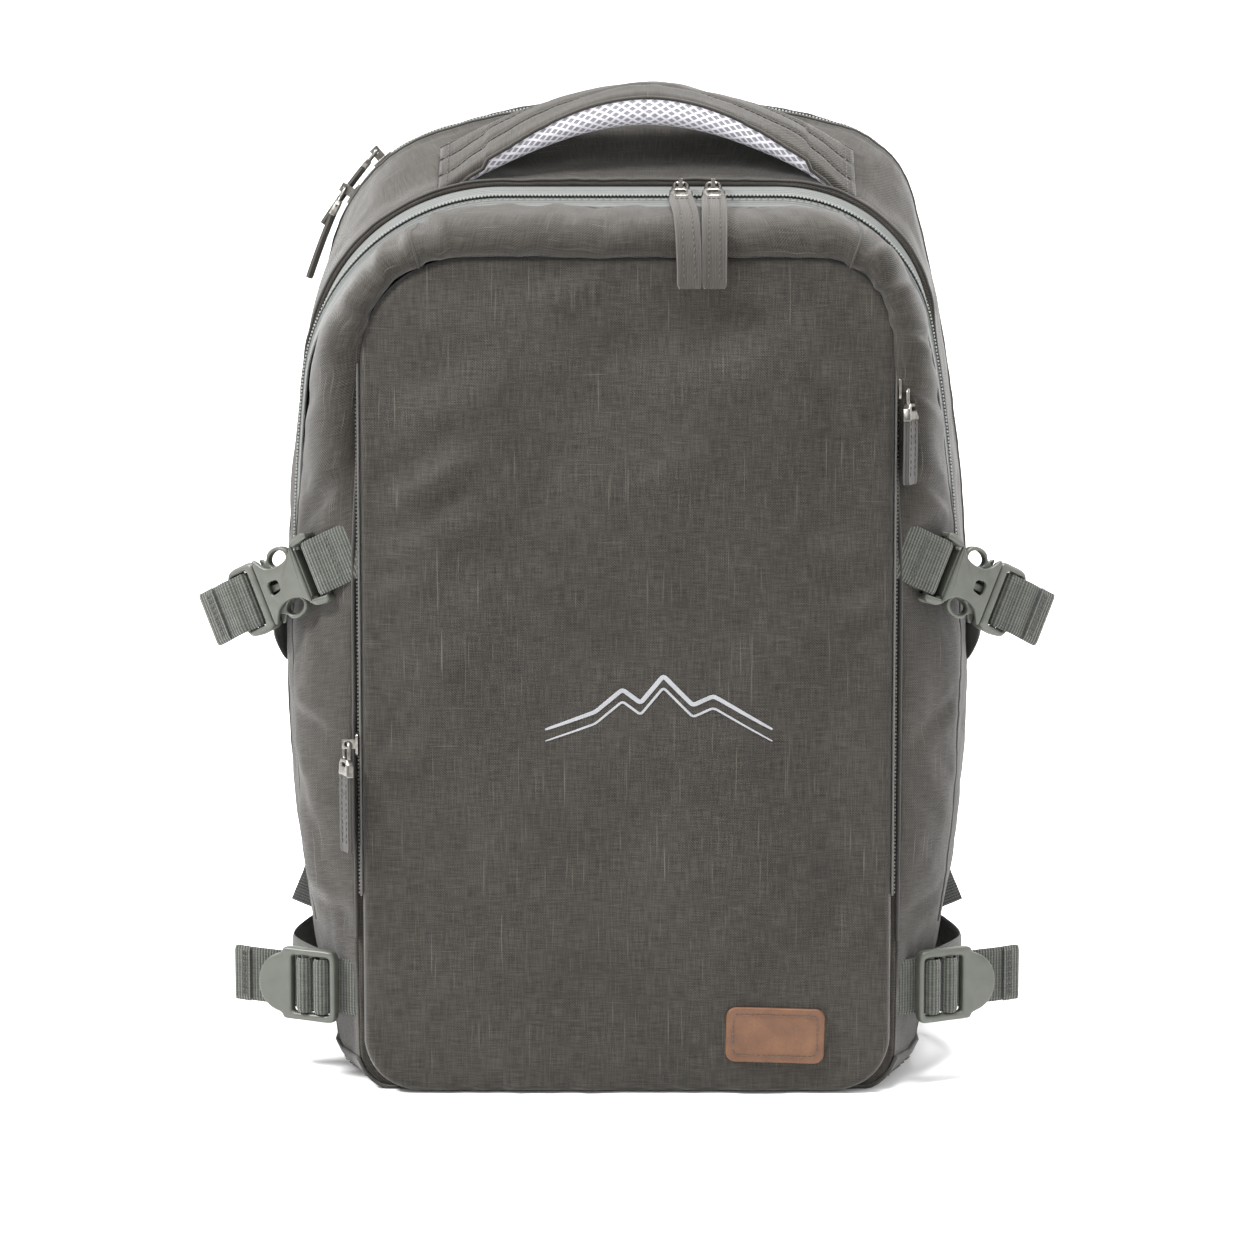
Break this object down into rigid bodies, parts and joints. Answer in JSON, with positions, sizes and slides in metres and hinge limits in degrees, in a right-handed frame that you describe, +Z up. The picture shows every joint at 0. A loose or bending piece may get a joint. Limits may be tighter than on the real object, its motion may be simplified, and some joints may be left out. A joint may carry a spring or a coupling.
{
  "type": "daypack",
  "caption": "Padded daypack with two zipped lids, flat front pocket, side compression straps with release buckles, carry handle and shoulder straps.",
  "frame": {"origin": "on the floor, at the middle of the base panel's resting face", "axes": "+Z up, the front pocket faces -Y, the wearer's back is at +Y, +X to the right seen from the front"},
  "size_m": [0.3872, 0.2356, 0.448],
  "materials": {
    "shell_fabric": "melange twill, matt",
    "base_fabric": "coated plain weave",
    "lining_fabric": "light ripstop",
    "air_mesh": "spacer mesh",
    "zip_tape": "woven tape with coil teeth",
    "webbing": "ribbed webbing",
    "buckle_plastic": "moulded, fine grain",
    "nickel": "nickel plated",
    "pull_tab": "folded and stitched tab",
    "leather": "smooth, cut edges"
  },
  "bodies": {
    "bag_body": {"base_panel": "base_fabric", "lower_skirt": "shell_fabric", "front_pocket_lower": "shell_fabric", "leather_patch": "leather", "mid_gusset": "shell_fabric", "divider_panel": "lining_fabric", "front_zip_rear_tape": "zip_tape", "rear_zip_front_tape": "zip_tape", "compression_rear_left": "webbing", "compression_rear_right": "webbing", "lower_strap_left": "webbing", "lower_strap_right": "webbing", "strap_tab_left": "webbing", "strap_tab_right": "webbing"},
    "front_lid": {"front_gusset": "shell_fabric", "front_face": "shell_fabric", "front_pocket": "shell_fabric", "front_zip_front_tape": "zip_tape", "pocket_zip_left": "zip_tape", "pocket_zip_right": "zip_tape", "compression_front_left": "webbing", "compression_front_right": "webbing", "buckle_female_left": "buckle_plastic", "buckle_female_right": "buckle_plastic"},
    "back_lid": {"rear_gusset": "shell_fabric", "back_panel": "shell_fabric", "rear_zip_rear_tape": "zip_tape", "back_pads": "air_mesh", "laptop_sleeve": "lining_fabric", "shoulder_strap_left": "shell_fabric", "shoulder_strap_right": "shell_fabric", "shoulder_webbing_left": "webbing", "shoulder_webbing_right": "webbing"},
    "grab_handle": {"grab_handle": "shell_fabric"},
    "front_slider_left": {"front_slider_left": "nickel"},
    "front_pull_left": {"front_pull_left": "pull_tab"},
    "front_slider_right": {"front_slider_right": "nickel"},
    "front_pull_right": {"front_pull_right": "pull_tab"},
    "rear_slider_low": {"rear_slider_low": "nickel"},
    "rear_pull_low": {"rear_pull_low": "pull_tab"},
    "rear_slider_high": {"rear_slider_high": "nickel"},
    "rear_pull_high": {"rear_pull_high": "pull_tab"},
    "pocket_slider_left": {"pocket_slider_left": "nickel"},
    "pocket_pull_left": {"pocket_pull_left": "pull_tab"},
    "pocket_slider_right": {"pocket_slider_right": "nickel"},
    "pocket_pull_right": {"pocket_pull_right": "pull_tab"},
    "buckle_male_left": {"buckle_male_left": "buckle_plastic", "compression_tail_left": "webbing"},
    "prong_lower_left": {"prong_lower_left": "buckle_plastic"},
    "prong_upper_left": {"prong_upper_left": "buckle_plastic"},
    "ladder_lock_left": {"ladder_lock_left": "buckle_plastic", "lower_tail_left": "webbing"},
    "adjuster_left": {"adjuster_left": "buckle_plastic"},
    "buckle_male_right": {"buckle_male_right": "buckle_plastic", "compression_tail_right": "webbing"},
    "prong_lower_right": {"prong_lower_right": "buckle_plastic"},
    "prong_upper_right": {"prong_upper_right": "buckle_plastic"},
    "ladder_lock_right": {"ladder_lock_right": "buckle_plastic", "lower_tail_right": "webbing"},
    "adjuster_right": {"adjuster_right": "buckle_plastic"}
  },
  "joints": [
    {"name": "front_lid_open", "type": "hinge", "parent": "bag_body", "child": "front_lid", "pos_m": [0, -0.0995, 0.07], "axis": [1, 0, 0], "range_deg": [0, 35]},
    {"name": "back_lid_open", "type": "hinge", "parent": "bag_body", "child": "back_lid", "pos_m": [0, 0.092, 0.07], "axis": [-1, 0, 0], "range_deg": [0, 28]},
    {"name": "handle_lift", "type": "slide", "parent": "bag_body", "child": "grab_handle", "axis": [0, 0, 1], "range_m": [0, 0.012]},
    {"name": "front_slider_left_run", "type": "slide", "parent": "front_lid", "child": "front_slider_left", "axis": [-1, 0, 0], "range_m": [0, 0.074]},
    {"name": "front_pull_left_swing", "type": "hinge", "parent": "front_slider_left", "child": "front_pull_left", "pos_m": [0.02395, -0.05, 0.4036], "axis": [-1, 0, 0], "range_deg": [0, 90]},
    {"name": "front_slider_right_run", "type": "slide", "parent": "front_lid", "child": "front_slider_right", "axis": [1, 0, 0], "range_m": [0, 0.022]},
    {"name": "front_pull_right_swing", "type": "hinge", "parent": "front_slider_right", "child": "front_pull_right", "pos_m": [0.03845, -0.05, 0.4036], "axis": [-1, 0, 0], "range_deg": [0, 90]},
    {"name": "rear_slider_low_run", "type": "hinge", "parent": "back_lid", "child": "rear_slider_low", "pos_m": [-0.06638, 0.014, 0.35882], "axis": [0, -1, 0], "range_deg": [0, 11]},
    {"name": "rear_pull_low_swing", "type": "hinge", "parent": "rear_slider_low", "child": "rear_pull_low", "pos_m": [-0.13049, 0.014, 0.39888], "axis": [0, 1, 0], "range_deg": [0, 95]},
    {"name": "rear_slider_high_run", "type": "hinge", "parent": "back_lid", "child": "rear_slider_high", "pos_m": [-0.06638, 0.014, 0.35882], "axis": [0, 1, 0], "range_deg": [0, 19]},
    {"name": "rear_pull_high_swing", "type": "hinge", "parent": "rear_slider_high", "child": "rear_pull_high", "pos_m": [-0.11597, 0.014, 0.41588], "axis": [0, 1, 0], "range_deg": [0, 95]},
    {"name": "pocket_slider_left_run", "type": "slide", "parent": "front_lid", "child": "pocket_slider_left", "axis": [0, 0, 1], "range_m": [-0.05, 0.15]},
    {"name": "pocket_pull_left_swing", "type": "hinge", "parent": "pocket_slider_left", "child": "pocket_pull_left", "pos_m": [-0.124, -0.095, 0.158], "axis": [0, 1, 0], "range_deg": [0, 90]},
    {"name": "pocket_slider_right_run", "type": "slide", "parent": "front_lid", "child": "pocket_slider_right", "axis": [0, 0, 1], "range_m": [-0.2, 0.004]},
    {"name": "pocket_pull_right_swing", "type": "hinge", "parent": "pocket_slider_right", "child": "pocket_pull_right", "pos_m": [0.124, -0.095, 0.316], "axis": [0, -1, 0], "range_deg": [0, 90]},
    {"name": "buckle_left_release", "type": "slide", "parent": "front_lid", "child": "buckle_male_left", "axis": [-0.7622, 0.4763, -0.4384], "range_m": [0, 0.034]},
    {"name": "prong_lower_left_squeeze", "type": "hinge", "parent": "buckle_male_left", "child": "prong_lower_left", "pos_m": [-0.15814, -0.06683, 0.21295], "axis": [-0.5299, -0.848, 0], "range_deg": [0, 12], "stiffness_Nm_per_rad": 0.02},
    {"name": "prong_upper_left_squeeze", "type": "hinge", "parent": "buckle_male_left", "child": "prong_upper_left", "pos_m": [-0.16483, -0.06265, 0.22913], "axis": [0.5299, 0.848, 0], "range_deg": [0, 12], "stiffness_Nm_per_rad": 0.02},
    {"name": "ladder_lock_left_tilt", "type": "hinge", "parent": "bag_body", "child": "ladder_lock_left", "pos_m": [-0.13668, -0.08159, 0.045], "axis": [0, 0, 1], "range_deg": [0, 40]},
    {"name": "adjuster_left_tilt", "type": "hinge", "parent": "back_lid", "child": "adjuster_left", "pos_m": [-0.095, 0.116, 0.1366], "axis": [0.9929, 0, -0.1191], "range_deg": [0, 60]},
    {"name": "buckle_right_release", "type": "slide", "parent": "front_lid", "child": "buckle_male_right", "axis": [0.7622, 0.4763, -0.4384], "range_m": [0, 0.034]},
    {"name": "prong_lower_right_squeeze", "type": "hinge", "parent": "buckle_male_right", "child": "prong_lower_right", "pos_m": [0.15814, -0.06683, 0.21295], "axis": [-0.5299, 0.848, 0], "range_deg": [0, 12], "stiffness_Nm_per_rad": 0.02},
    {"name": "prong_upper_right_squeeze", "type": "hinge", "parent": "buckle_male_right", "child": "prong_upper_right", "pos_m": [0.16483, -0.06265, 0.22913], "axis": [0.5299, -0.848, 0], "range_deg": [0, 12], "stiffness_Nm_per_rad": 0.02},
    {"name": "ladder_lock_right_tilt", "type": "hinge", "parent": "bag_body", "child": "ladder_lock_right", "pos_m": [0.13668, -0.08159, 0.045], "axis": [0, 0, -1], "range_deg": [0, 40]},
    {"name": "adjuster_right_tilt", "type": "hinge", "parent": "back_lid", "child": "adjuster_right", "pos_m": [0.095, 0.116, 0.1366], "axis": [0.9929, 0, 0.1191], "range_deg": [0, 60]}
  ]
}
